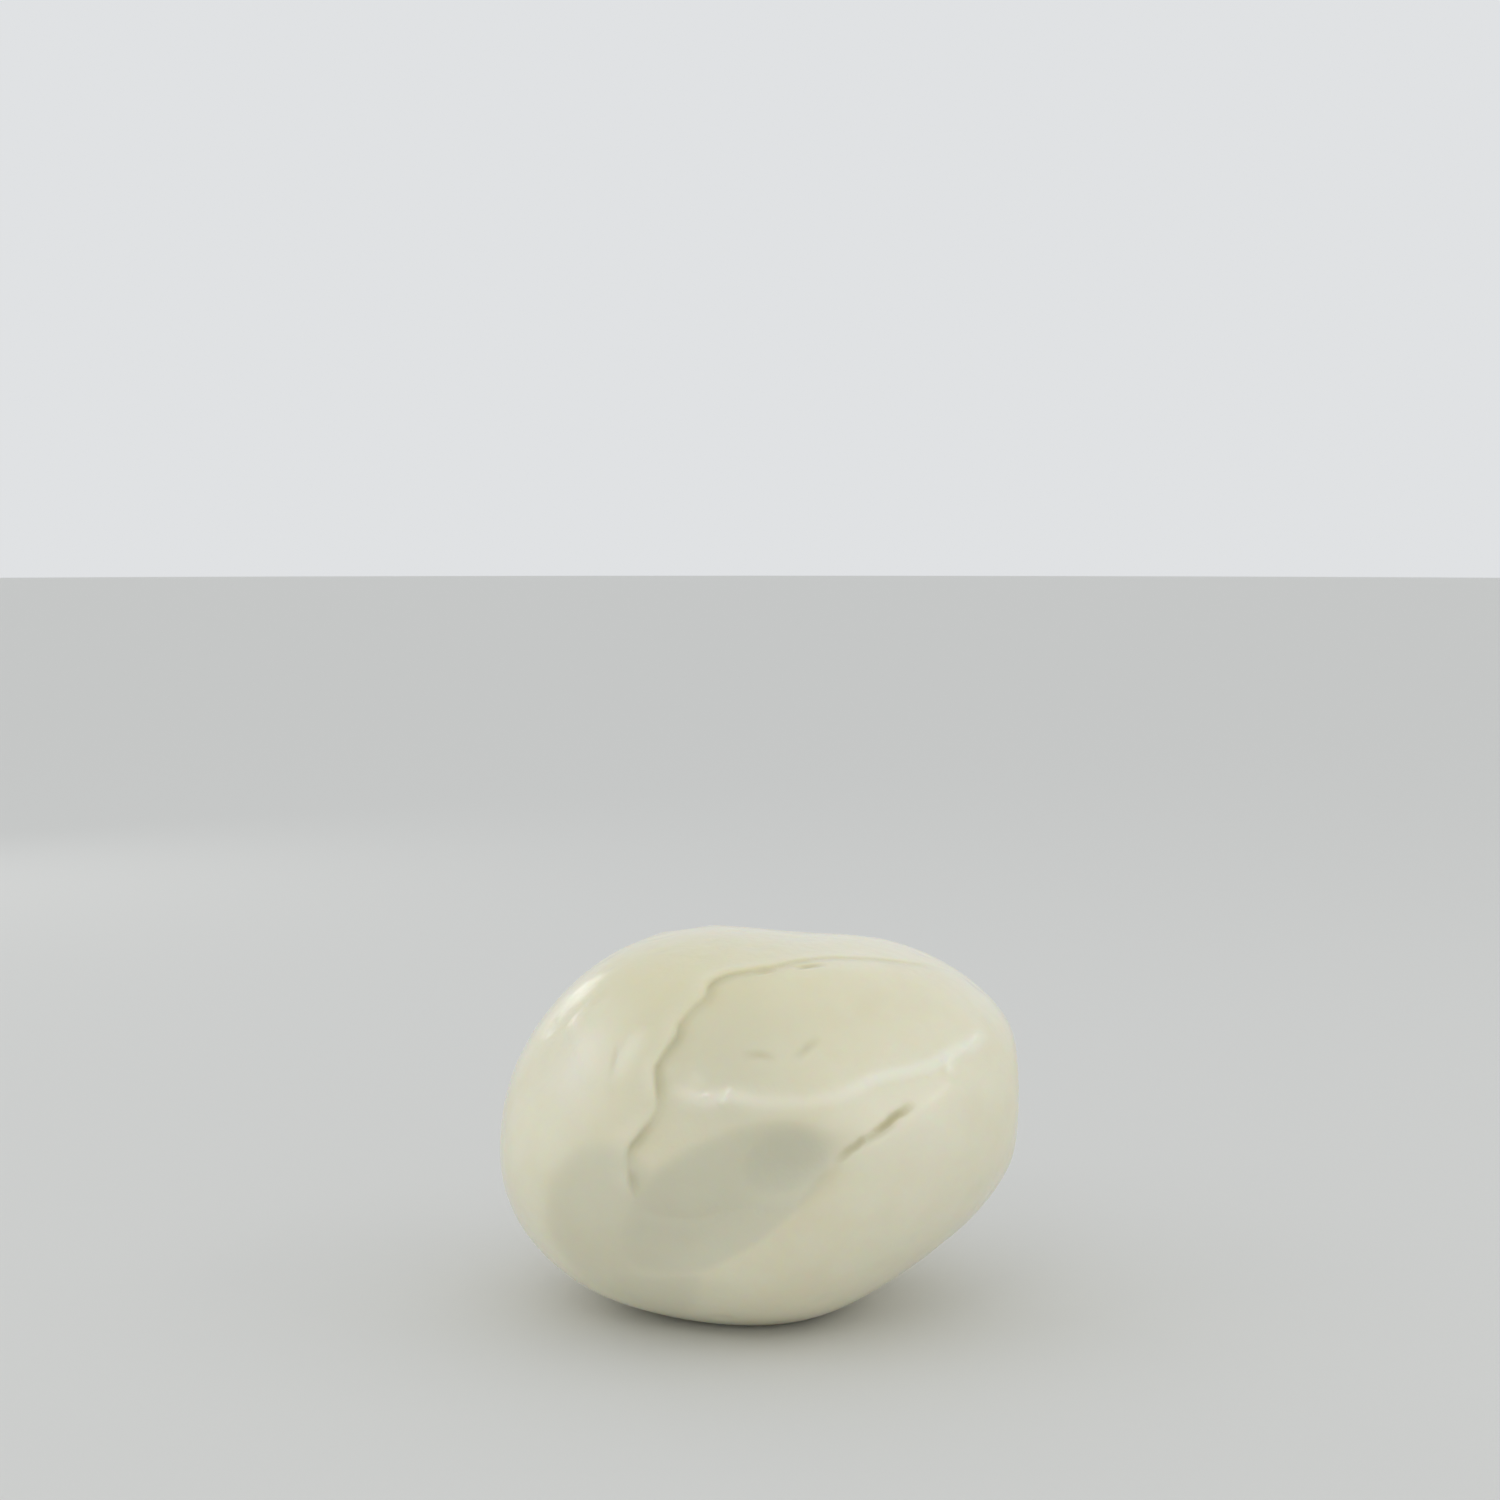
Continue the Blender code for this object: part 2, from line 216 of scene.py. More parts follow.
class FoldShape(bpy.types.PropertyGroup):
    """Sizes of what runs over the skin."""

    fold_height: FloatProperty(
        name="Fold Height", description="Scale of a fold's lip and groove",
        default=1.0 * MM, unit="LENGTH")
    fold_reach: FloatProperty(
        name="Fold Reach", description="How far a fold lifts the skin to each side",
        default=4.5 * MM, unit="LENGTH")
    fold_lean: FloatProperty(
        name="Fold Lean", description="How far a fold's lip leans over its groove",
        default=0.1 * MM, unit="LENGTH")
    nick_height: FloatProperty(
        name="Nick Height", description="Scale of a nick's depth", default=0.38 * MM, unit="LENGTH")
    nick_reach: FloatProperty(
        name="Nick Reach", description="How far a nick lifts the skin to each side",
        default=3.4 * MM, unit="LENGTH")
    ridge_height: FloatProperty(
        name="Ridge Height", description="Height of the long ridge", default=0.35 * MM, unit="LENGTH")
    ridge_reach: FloatProperty(
        name="Ridge Reach", description="Half the width of the long ridge's foot",
        default=3.4 * MM, unit="LENGTH")
    ripple_height: FloatProperty(
        name="Ripple Height", description="Height of the ripples", default=0.45 * MM, unit="LENGTH")
    ripple_reach: FloatProperty(
        name="Ripple Reach", description="Half the width of a ripple's foot",
        default=5.4 * MM, unit="LENGTH")
    bead_height: FloatProperty(
        name="Bead Height", description="Height of the small beads on the ridge",
        default=0.35 * MM, unit="LENGTH")
    bead_reach: FloatProperty(
        name="Bead Reach", description="Half the width of a bead", default=1.3 * MM, unit="LENGTH")
    pit_depth: FloatProperty(
        name="Pit Depth", description="Depth of the small pits", default=0.8 * MM, unit="LENGTH")
    pit_reach: FloatProperty(
        name="Pit Reach", description="Half the width of a small pit",
        default=1.8 * MM, unit="LENGTH")
    waver: FloatProperty(
        name="Waver", description="How far a fold's edge strays from its path",
        default=0.25 * MM, unit="LENGTH")
    dimple_spacing: FloatProperty(
        name="Dimple Spacing", description="Least distance between two dimples",
        default=7.0 * MM, unit="LENGTH")
    dimple_depth: FloatProperty(
        name="Dimple Depth", description="Depth of the deepest dimples",
        default=0.12 * MM, unit="LENGTH")
    dimple_seed: IntProperty(
        name="Dimple Seed", description="Another seed moves the dimples", default=7)


class SkinFinish(bpy.types.PropertyGroup):
    """Colours and gloss of the skin."""

    milk: StringProperty(
        name="Milk", description="sRGB hex value of the palest skin", default="F2EED5")
    cream: StringProperty(
        name="Cream", description="sRGB hex value of the deeper skin", default="EEE8CC")
    # Colour of the painted warm shade at the top on the left and beside the seam.
    painted_warm_shade: StringProperty(
        name="Warm Shade Paint", description="sRGB hex value of the yellower patch", default="E5DFB8")
    # Colour of the painted highlight.
    highlight_paint: StringProperty(
        name="Pale", description="sRGB hex value of the skin stretched along a ridge", default="FFFBEC")
    # Colour of the painted grey shade in the hollows and right of the seam.
    painted_grey_shade: StringProperty(
        name="Grey Shade Paint", description="sRGB hex value of the skin in the hollows", default="CFCEB8")
    # Colour of the painted shade in the grooves of the folds, the nick and the pits.
    groove_shade_paint: StringProperty(
        name="Groove Shade Paint", description="sRGB hex value at the bottom of a fold", default="C9C091")
    scatter: FloatProperty(
        name="Scatter", description="How far red light travels in the cheese",
        default=1.2 * MM, unit="LENGTH")
    roughness: FloatProperty(
        name="Roughness", description="Mean roughness of the moist skin", default=0.38, min=0.0, max=1.0)


class StageSetup(bpy.types.PropertyGroup):
    """The floor, the lights and the camera."""

    floor: StringProperty(
        name="Floor", description="sRGB hex value of the floor", default="DEDEDB")
    sky: StringProperty(
        name="Surroundings", description="sRGB hex value of the surroundings", default="F2F4F6")
    sky_strength: FloatProperty(
        name="Surroundings Strength", description="Light from all around", default=0.84, min=0.0)
    key_power: FloatProperty(
        name="Key Power", description="Power of the soft light in front and above",
        default=0.08, unit="POWER")
    side_power: FloatProperty(
        name="Side Power", description="Power of the soft light on the right",
        default=0.2, unit="POWER")
    fill_power: FloatProperty(
        name="Fill Power", description="Power of the soft light on the left",
        default=0.15, unit="POWER")
    window_power: FloatProperty(
        name="Window Power", description="Power of the light behind, on the left",
        default=0.08, unit="POWER")
    camera_distance: FloatProperty(
        name="Camera Distance", description="From the camera to the ball's middle, level",
        default=361 * MM, unit="LENGTH")
    camera_rise: FloatProperty(
        name="Camera Rise", description="The camera above the ball's middle",
        default=85.2 * MM, unit="LENGTH")
    camera_dip: FloatProperty(
        name="Camera Dip", description="How far the camera looks down",
        default=math.radians(5), unit="ROTATION")
    lens: FloatProperty(name="Lens", description="Focal length in millimetres", default=60.0)


def direction(longitude, latitude):
    """The unit vector from the ball's middle to a place on the skin."""
    lon, lat = math.radians(longitude), math.radians(latitude)
    return np.array((math.sin(lon) * math.cos(lat), -math.cos(lon) * math.cos(lat), math.sin(lat)))


def local_axes(longitude, latitude):
    """The directions right, up and out at a place on the skin, seen from outside."""
    out = direction(longitude, latitude)
    right = direction(longitude + 90, 0)
    return right, np.cross(out, right), out


def outline_radius(angle, mean_radius):
    """The outline's radius seen from the front, at an angle from +X towards +Z."""
    radius = np.full_like(angle, mean_radius)
    for waves, height, crest in OUTLINE_WAVES:
        radius += height * np.cos(waves * (angle - math.radians(crest)))
    return radius


def uneven_round(ways, form):
    """The points where the directions in ways meet the round that the ball starts as."""
    x, y, z = ways.T
    across = np.hypot(x, z) / outline_radius(np.arctan2(z, x), form.mean_radius)
    deep = np.abs(y) / form.half_depth
    reach = (across**form.fullness + deep**form.fullness) ** (-1 / form.fullness)
    return ways * reach[:, None]


def press_flat(points, facing, distance, softness):
    """Pushes what stands beyond a plane back onto it, with a soft edge."""
    over = points @ facing - distance
    edge = np.clip(over + softness, 0, 2 * softness) ** 2 / (4 * softness)
    return points - np.outer(edge + np.maximum(over - softness, 0), facing)


def hollow(ways, radius, longitude, latitude, tilt, half_width, above, below, depth, softness):
    """How far a hollow lowers the skin: a bowl with a crisp or a soft rim."""
    right, up, out = local_axes(longitude, latitude)
    turn = math.radians(tilt)
    across = radius * (ways @ (right * math.cos(turn) + up * math.sin(turn)))
    along = radius * (ways @ (up * math.cos(turn) - right * math.sin(turn)))
    half_height = np.where(along > 0, above, below)
    rim = 1 - ((across / half_width) ** 2 + (along / half_height) ** 2 + 0.02) ** (HOLLOW_FLARE / 2)
    inside = (rim + np.sqrt(rim**2 + softness**2)) / 2
    return np.where(ways @ out > 0, depth * inside, 0)


def bump(distance, width):
    """A smooth rise of 1 at distance 0 that has gone at about twice the width."""
    return np.exp(-((distance / width) ** 2))


def pucker(ways, form):
    """The height of the pinched end: a small pit with pleats that run out of it."""
    right, up, out = local_axes(*PUCKER)
    across, along = form.mean_radius * (ways @ right), form.mean_radius * (ways @ up)
    away = np.hypot(across, along)
    pleats = np.cos(form.pleats * np.arctan2(along, across) + away / form.pucker_radius)
    ring = bump(away - form.pucker_radius, form.pucker_radius * 0.6)
    height = form.pleat_height * pleats * ring - form.pucker_depth * bump(away, form.pucker_radius * 0.6)
    return np.where(ways @ out > 0, height, 0)


def swell(points, form):
    """The height of the soft unevenness all over."""
    return form.swell_height * np.array([noise.noise(Vector(p) / form.swell_size) for p in points])


def hollow_depth(ways, form):
    """How far all the hollows together lower the skin."""
    return sum(hollow(ways, form.mean_radius, *sizes) for sizes in HOLLOWS)


def painted_hollow_shade(ways, form):
    """How much painted grey shade the skin gets in the hollows, from 0 to 1."""
    return np.max([
        shade_strength * (1 - np.exp(-hollow(ways, form.mean_radius, *sizes) / (0.15 * MM)))
        for sizes, shade_strength in zip(HOLLOWS, PAINTED_HOLLOW_SHADE)
    ], axis=0)


def patchy_tone(tone, start, ways, form):
    """A tone's strength over the skin: what it starts as, or that of its patches where they are stronger."""
    for name, longitude, latitude, radius, strength in PATCHES:
        if name == tone:
            away = form.mean_radius * np.arccos(np.clip(ways @ direction(longitude, latitude), -1, 1))
            start = np.maximum(start, strength * bump(away, radius))
    return start


def form_points(ways, form):
    """The form's points for directions from the middle, before folds and the flat spot."""
    points = uneven_round(ways, form)
    for longitude, latitude, distance, softness in PRESSED_FACES:
        points = press_flat(points, direction(longitude, latitude), distance, softness)
    height = swell(points, form) + pucker(ways, form) - hollow_depth(ways, form)
    return points + ways * height[:, None]


def smooth_path(stops, steps=12):
    """A smooth curve of directions and strengths through the stops of a path."""
    knots = np.array([(*direction(lon, lat), strength) for lon, lat, strength in stops])
    knots = np.vstack((2 * knots[0] - knots[1], knots, 2 * knots[-1] - knots[-2]))
    curve = []
    for before, start, end, after in zip(knots, knots[1:], knots[2:], knots[3:]):
        for t in np.linspace(0, 1, steps, endpoint=False):
            curve.append(
                0.5 * (2 * start + t * (end - before)
                       + t**2 * (2 * before - 5 * start + 4 * end - after)
                       + t**3 * (3 * start - before - 3 * end + after))
            )
    curve = np.array(curve + [knots[-2]])
    curve[:, :3] /= np.linalg.norm(curve[:, :3], axis=1)[:, None]
    return curve[:, :3], np.clip(curve[:, 3], 0, 1)


def unit_vertices(bm):
    """The directions of a mesh's vertices from its middle, in their order."""
    bm.verts.index_update()
    places = np.array([vertex.co for vertex in bm.verts], dtype=float)
    return places / np.linalg.norm(places, axis=1)[:, None]


def split_near(bm, paths, band):
    """Splits the triangles of a unit sphere that lie in a band round some paths."""
    ways = unit_vertices(bm)
    near = np.zeros(len(ways), dtype=bool)
    for stops in paths:
        closest = (ways @ smooth_path(stops)[0].T).max(axis=1)
        near |= closest > math.cos(band)
    edges = [edge for edge in bm.edges if any(near[vertex.index] for vertex in edge.verts)]
    bmesh.ops.subdivide_edges(bm, edges=edges, cuts=1, use_grid_fill=True)
    bmesh.ops.triangulate(bm, faces=bm.faces)


def add(tree, kind, inputs=None, **settings):
    """Adds a node with its settings, and sets or links the inputs that are given by name or number."""
    node = tree.nodes.new(kind)
    for name, value in settings.items():
        setattr(node, name, value)
    for key, value in (inputs or {}).items():
        socket = node.inputs[key]
        if isinstance(value, bpy.types.NodeSocket):
            tree.links.new(value, socket)
        else:
            socket.default_value = value
    return node


def new_tree(name, lengths=(), whole_numbers=(), objects=()):
    """A Geometry Nodes tree with a geometry in and out and inputs of the given names."""
    tree = bpy.data.node_groups.new(name, "GeometryNodeTree")
    tree.is_modifier = True
    tree.interface.new_socket("Geometry", in_out="OUTPUT", socket_type="NodeSocketGeometry")
    tree.interface.new_socket("Geometry", in_out="INPUT", socket_type="NodeSocketGeometry")
    tree.interface.new_socket("Skin", in_out="INPUT", socket_type="NodeSocketMaterial")
    for names, kind in ((lengths, "Float"), (whole_numbers, "Int"), (objects, "Object")):
        for socket in names:
            tree.interface.new_socket(socket, in_out="INPUT", socket_type="NodeSocket" + kind)
    return tree


def close_tree(tree, geometry, group_in):
    """Ends a tree in real geometry with the skin's material."""
    real = add(tree, "GeometryNodeRealizeInstances", {"Geometry": geometry})
    dressed = add(tree, "GeometryNodeSetMaterial",
                  {"Geometry": real.outputs[0], "Material": group_in.outputs["Skin"]})
    add(tree, "NodeGroupOutput", {"Geometry": dressed.outputs[0]})


def draw_curve(node, points):
    """Draws a Float Curve node's curve through some points."""
    curve = node.mapping.curves[0]
    curve.points[0].location, curve.points[1].location = points[0], points[-1]
    for x, y in points[1:-1]:
        curve.points.new(x, y)
    node.mapping.update()


def path_tree(name, section, lean):
    """Geometry Nodes that shape the skin beside a path: a cross-section swept along it. They also keep how
    much painted shade and painted highlight each place gets.
    """
    tree = new_tree(name, lengths=("Height", "Reach", "Lean", "Waver", "Waver Size", "Painted Highlight"),
                    objects=("Path",))
    group_in = add(tree, "NodeGroupInput")
    # The path as points, each with its strength and its heading.
    path = add(tree, "GeometryNodeObjectInfo", {"Object": group_in.outputs["Path"]})
    radius = add(tree, "GeometryNodeInputRadius")
    marked = add(tree, "GeometryNodeStoreNamedAttribute",
                 {"Geometry": path.outputs["Geometry"], "Name": "strength", "Value": radius.outputs[0]},
                 data_type="FLOAT", domain="POINT")
    course = add(tree, "GeometryNodeCurveToPoints",
                 {"Curve": marked.outputs[0], "Length": 0.25 * MM}, mode="LENGTH")
    # The nearest of them to each vertex.
    nearest = add(tree, "GeometryNodeSampleNearest", {"Geometry": course.outputs["Points"]})
    position = add(tree, "GeometryNodeInputPosition")
    strength = add(tree, "GeometryNodeInputNamedAttribute", {"Name": "strength"}, data_type="FLOAT")
    there = [
        add(tree, "GeometryNodeSampleIndex",
            {"Geometry": course.outputs["Points"], "Value": value, "Index": nearest.outputs[0]},
            data_type=kind)
        for value, kind in ((position.outputs[0], "FLOAT_VECTOR"),
                            (course.outputs["Tangent"], "FLOAT_VECTOR"),
                            (strength.outputs[0], "FLOAT"))
    ]
    place, heading, strength_there = [node.outputs[0] for node in there]
    # The distance to the right of the path, with a wavering edge.
    outward = add(tree, "GeometryNodeInputNamedAttribute", {"Name": "outward"}, data_type="FLOAT_VECTOR")
    rightward = add(tree, "ShaderNodeVectorMath", {0: outward.outputs[0], 1: heading},
                    operation="CROSS_PRODUCT")
    rightward = add(tree, "ShaderNodeVectorMath", {0: rightward.outputs[0]}, operation="NORMALIZE")
    gap = add(tree, "ShaderNodeVectorMath", {0: position.outputs[0], 1: place}, operation="SUBTRACT")
    side = add(tree, "ShaderNodeVectorMath", {0: gap.outputs[0], 1: rightward.outputs[0]},
               operation="DOT_PRODUCT")
    side = add(tree, "ShaderNodeMath", {0: side.outputs["Value"]}, operation="SIGN")
    away = add(tree, "ShaderNodeVectorMath", {0: gap.outputs[0]}, operation="LENGTH")
    right = add(tree, "ShaderNodeMath", {0: away.outputs["Value"], 1: side.outputs[0]},
                operation="MULTIPLY")
    grain = add(tree, "ShaderNodeMath", {0: 1.0, 1: group_in.outputs["Waver Size"]}, operation="DIVIDE")
    waves = add(tree, "ShaderNodeTexNoise",
                {"Vector": position.outputs[0], "Scale": grain.outputs[0], "Detail": 2.0})
    centred = add(tree, "ShaderNodeMath", {0: waves.outputs[0], 1: 0.5}, operation="SUBTRACT")
    strayed = add(tree, "ShaderNodeMath",
                  {0: centred.outputs[0], 1: group_in.outputs["Waver"], 2: right.outputs[0]},
                  operation="MULTIPLY_ADD")
    # The section there: 0 at the far left, 0.5 on the path and 1 at the far right.
    doubled = add(tree, "ShaderNodeMath", {0: group_in.outputs["Reach"], 1: 2.0}, operation="MULTIPLY")
    share = add(tree, "ShaderNodeMath", {0: strayed.outputs[0], 1: doubled.outputs[0]},
                operation="DIVIDE")
    across = add(tree, "ShaderNodeMath", {0: share.outputs[0], 1: 0.5}, operation="ADD", use_clamp=True)
    drawn = add(tree, "ShaderNodeFloatCurve", {"Value": across.outputs[0]})
    draw_curve(drawn, section)
    level = add(tree, "ShaderNodeMath", {0: drawn.outputs[0], 1: 2.0, 2: -1.0}, operation="MULTIPLY_ADD")
    felt = add(tree, "ShaderNodeMath", {0: level.outputs[0], 1: strength_there}, operation="MULTIPLY")
    rise = add(tree, "ShaderNodeMath", {0: felt.outputs[0], 1: group_in.outputs["Height"]},
               operation="MULTIPLY")
    leaning = add(tree, "ShaderNodeFloatCurve", {"Value": across.outputs[0]})
    draw_curve(leaning, lean)
    leant = add(tree, "ShaderNodeMath", {0: leaning.outputs[0], 1: strength_there}, operation="MULTIPLY")
    slide = add(tree, "ShaderNodeMath", {0: leant.outputs[0], 1: group_in.outputs["Lean"]},
                operation="MULTIPLY")
    # The skin moves out or in by the section's height, and its lip leans over the groove.
    out_move = add(tree, "ShaderNodeVectorMath", {0: outward.outputs[0], "Scale": rise.outputs[0]},
                   operation="SCALE")
    side_move = add(tree, "ShaderNodeVectorMath", {0: rightward.outputs[0], "Scale": slide.outputs[0]},
                    operation="SCALE")
    move = add(tree, "ShaderNodeVectorMath", {0: out_move.outputs[0], 1: side_move.outputs[0]},
               operation="ADD")
    # How deep each place lies in a fold, kept for the painted shade in the grooves.
    before = add(tree, "GeometryNodeInputNamedAttribute", {"Name": "crevice"}, data_type="FLOAT")
    sunk = add(tree, "ShaderNodeMath", {0: felt.outputs[0], 1: -1.0}, operation="MULTIPLY", use_clamp=True)
    deepest = add(tree, "ShaderNodeMath", {0: before.outputs[0], 1: sunk.outputs[0]}, operation="MAXIMUM")
    kept = add(tree, "GeometryNodeStoreNamedAttribute",
               {"Geometry": group_in.outputs["Geometry"], "Name": "crevice", "Value": deepest.outputs[0]},
               data_type="FLOAT", domain="POINT")
    # How much painted highlight goes on the raised skin, kept as well.
    earlier = add(tree, "GeometryNodeInputNamedAttribute", {"Name": "crest"}, data_type="FLOAT")
    raised = add(tree, "ShaderNodeMath", {0: felt.outputs[0], 1: group_in.outputs["Painted Highlight"]},
                 operation="MULTIPLY", use_clamp=True)
    palest = add(tree, "ShaderNodeMath", {0: earlier.outputs[0], 1: raised.outputs[0]},
                 operation="MAXIMUM")
    kept = add(tree, "GeometryNodeStoreNamedAttribute",
               {"Geometry": kept.outputs[0], "Name": "crest", "Value": palest.outputs[0]},
               data_type="FLOAT", domain="POINT")
    moved = add(tree, "GeometryNodeSetPosition", {"Geometry": kept.outputs[0], "Offset": move.outputs[0]})
    close_tree(tree, moved.outputs[0], group_in)
    return tree


def dimple_tree():
    """Geometry Nodes that scatter shallow dimples over the skin."""
    tree = new_tree("skin_dimples", lengths=("Spacing", "Depth"), whole_numbers=("Seed",))
    group_in = add(tree, "NodeGroupInput")
    spots = add(tree, "GeometryNodeDistributePointsOnFaces",
                {"Mesh": group_in.outputs["Geometry"], "Distance Min": group_in.outputs["Spacing"],
                 "Density Max": 60000.0, "Seed": group_in.outputs["Seed"]},
                distribute_method="POISSON")
    nearest = add(tree, "GeometryNodeSampleNearest", {"Geometry": spots.outputs["Points"]})
    position = add(tree, "GeometryNodeInputPosition")
    chance = add(tree, "FunctionNodeRandomValue",
                 {2: 0.35, 3: 1.0, "Seed": group_in.outputs["Seed"]}, data_type="FLOAT")
    place, size = [
        add(tree, "GeometryNodeSampleIndex",
            {"Geometry": spots.outputs["Points"], "Value": value, "Index": nearest.outputs[0]},
            data_type=kind).outputs[0]
        for value, kind in ((position.outputs[0], "FLOAT_VECTOR"), (chance.outputs[1], "FLOAT"))
    ]
    away = add(tree, "ShaderNodeVectorMath", {0: position.outputs[0], 1: place}, operation="DISTANCE")
    radius = add(tree, "ShaderNodeMath", {0: group_in.outputs["Spacing"], 1: 0.5}, operation="MULTIPLY")
    radius = add(tree, "ShaderNodeMath", {0: radius.outputs[0], 1: size}, operation="MULTIPLY")
    inside = add(tree, "ShaderNodeMapRange",
                 {"Value": away.outputs["Value"], "From Min": radius.outputs[0], "From Max": 0.0,
                  "To Min": 0.0, "To Max": 1.0}, interpolation_type="SMOOTHERSTEP")
    depth = add(tree, "ShaderNodeMath", {0: group_in.outputs["Depth"], 1: size}, operation="MULTIPLY")
    depth = add(tree, "ShaderNodeMath", {0: depth.outputs[0], 1: inside.outputs["Result"]},
                operation="MULTIPLY")
    inward = add(tree, "ShaderNodeMath", {0: depth.outputs[0], 1: -1.0}, operation="MULTIPLY")
    outward = add(tree, "GeometryNodeInputNamedAttribute", {"Name": "outward"}, data_type="FLOAT_VECTOR")
    move = add(tree, "ShaderNodeVectorMath", {0: outward.outputs[0], "Scale": inward.outputs[0]},
               operation="SCALE")
    moved = add(tree, "GeometryNodeSetPosition",
                {"Geometry": group_in.outputs["Geometry"], "Offset": move.outputs[0]})
    close_tree(tree, moved.outputs[0], group_in)
    return tree


def path_curve(name, stops, form):
    """A guide curve on the form along a path, whose radius is the path's strength."""
    ways, strengths = smooth_path(stops)
    curve = bpy.data.curves.new(name, "CURVE")
    curve.dimensions = "3D"
    spline = curve.splines.new("POLY")
    spline.points.add(len(ways) - 1)
    for point, place, strength in zip(spline.points, form_points(ways, form), strengths):
        point.co = (*place, 1.0)
        point.radius = strength
    guide = bpy.data.objects.new(name, curve)
    bpy.context.scene.collection.objects.link(guide)
    return guide


def run_tree(piece, tree, values):
    """Adds a tree to a piece as a modifier and sets its inputs by their identifiers."""
    modifier = piece.modifiers.new(tree.name, "NODES")
    modifier.node_group = tree
    for item in tree.interface.items_tree:
        if item.in_out == "INPUT" and item.name in values:
            modifier[item.identifier] = values[item.name]


def make_plain(piece):
    """Turns what a piece's modifiers make into its own mesh, and removes them."""
    evaluated = piece.evaluated_get(bpy.context.evaluated_depsgraph_get())
    mesh = bpy.data.meshes.new_from_object(evaluated)
    piece.modifiers.clear()
    piece.data = mesh


def formed_mesh(form):
    """The ball's form as a fine mesh, with its outward directions kept for the folds."""
    bm = bmesh.new()
    bmesh.ops.create_icosphere(bm, subdivisions=form.sphere_level, radius=1.0)
    paths = [stops for group in (FOLDS, NICKS, RIDGES, RIPPLES, BEADS, PITS) for stops in group.values()]
    sharp_paths = [stops for group in (FOLDS, NICKS) for stops in group.values()]
    split_near(bm, paths, SPLIT_BANDS[0] / form.mean_radius)
    split_near(bm, sharp_paths, SPLIT_BANDS[1] / form.mean_radius)
    ways = unit_vertices(bm)
    for vertex, point in zip(bm.verts, form_points(ways, form)):
        vertex.co = point
    bmesh.ops.recalc_face_normals(bm, faces=bm.faces)
    mesh = bpy.data.meshes.new(NODE + "_skin")
    bm.to_mesh(mesh)
    bm.free()
    outward = mesh.attributes.new("outward", "FLOAT_VECTOR", "POINT")
    normals = np.zeros(3 * len(mesh.vertices), dtype=np.float32)
    mesh.vertices.foreach_get("normal", normals)
    outward.data.foreach_set("vector", normals)
    # Attributes that carry the painted shade in the grooves, the painted grey and warm shade and the painted
    # highlight.
    mesh.attributes.new("crevice", "FLOAT", "POINT")
    for tone in ("painted_grey_shade", "painted_warm_shade", "crest"):
        toned = mesh.attributes.new(tone, "FLOAT", "POINT")
        start = painted_hollow_shade(ways, form) if tone == "painted_grey_shade" else np.zeros(len(ways))
        toned.data.foreach_set("value", patchy_tone(tone, start, ways, form))
    return mesh


def settle(mesh, form):
    """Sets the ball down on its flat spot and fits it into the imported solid's box."""
    places = np.zeros(3 * len(mesh.vertices))
    mesh.vertices.foreach_get("co", places)
    points = press_flat(places.reshape(-1, 3), np.array((0.0, 0.0, -1.0)),
                        form.rest_height, form.rest_softness)
    lowest, highest = points.min(axis=0), points.max(axis=0)
    box_low, box_high = (np.array(corner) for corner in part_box(NODE))
    points = box_low + (points - lowest) * (box_high - box_low) / (highest - lowest)
    mesh.vertices.foreach_set("co", points.ravel())
    mesh.update()


